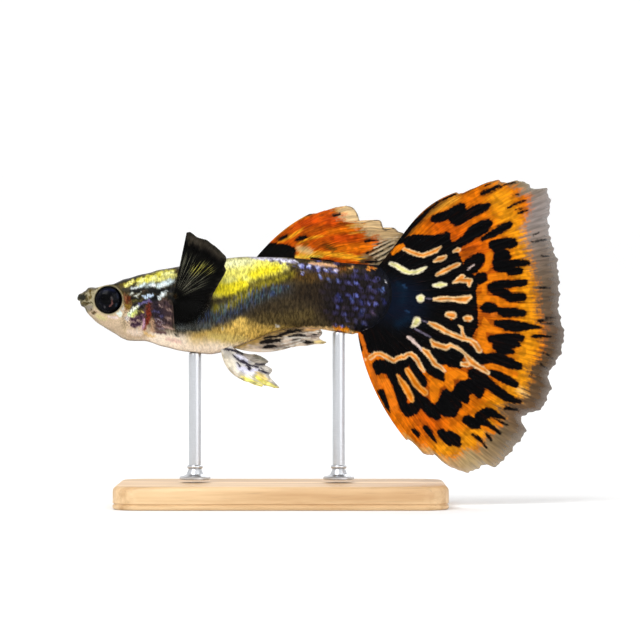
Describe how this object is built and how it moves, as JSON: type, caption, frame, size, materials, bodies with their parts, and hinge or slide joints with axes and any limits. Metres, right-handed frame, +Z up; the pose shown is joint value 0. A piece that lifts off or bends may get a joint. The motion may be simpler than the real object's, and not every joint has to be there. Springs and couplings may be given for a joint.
{
  "type": "fancy guppy",
  "caption": "Male fancy guppy with a large delta tail, a swept dorsal fin and big dark pectoral fins, held level on a plain display stand.",
  "frame": {"origin": "centre of the bounding box in X and Y, at the underside of the stand's base", "axes": "+X from the head to the tail, -Y the fish's left side, +Z up"},
  "size_m": [0.05, 0.02, 0.0335],
  "materials": {
    "head_skin": "wet scaled skin",
    "gill_cover": "silvery skin",
    "eye": "wet and glossy",
    "flank_skin": "wet scaled skin",
    "tail_stalk_skin": "wet scaled skin",
    "tail_fin": "thin fin skin over rays",
    "dorsal_fin": "thin fin skin over rays",
    "dark_fin": "thin fin skin over rays",
    "pale_fin": "thin fin skin over rays",
    "stand_wood": "satin",
    "stand_steel": "satin"
  },
  "bodies": {
    "root": {"head": "head_skin", "jaw": "head_skin", "eye_left": "eye", "eye_right": "eye", "gill_cover_left": "gill_cover", "gill_cover_right": "gill_cover", "trunk": "flank_skin", "tail_stalk": "tail_stalk_skin", "fin_tail": "tail_fin", "fin_dorsal": "dorsal_fin", "fin_anal": "pale_fin", "fin_pelvic_left": "pale_fin", "fin_pelvic_right": "pale_fin", "fin_pectoral_left": "dark_fin", "fin_pectoral_right": "dark_fin", "stand_base": "stand_wood", "stand_rod_front": "stand_steel", "stand_rod_rear": "stand_steel"}
  },
  "joints": []
}
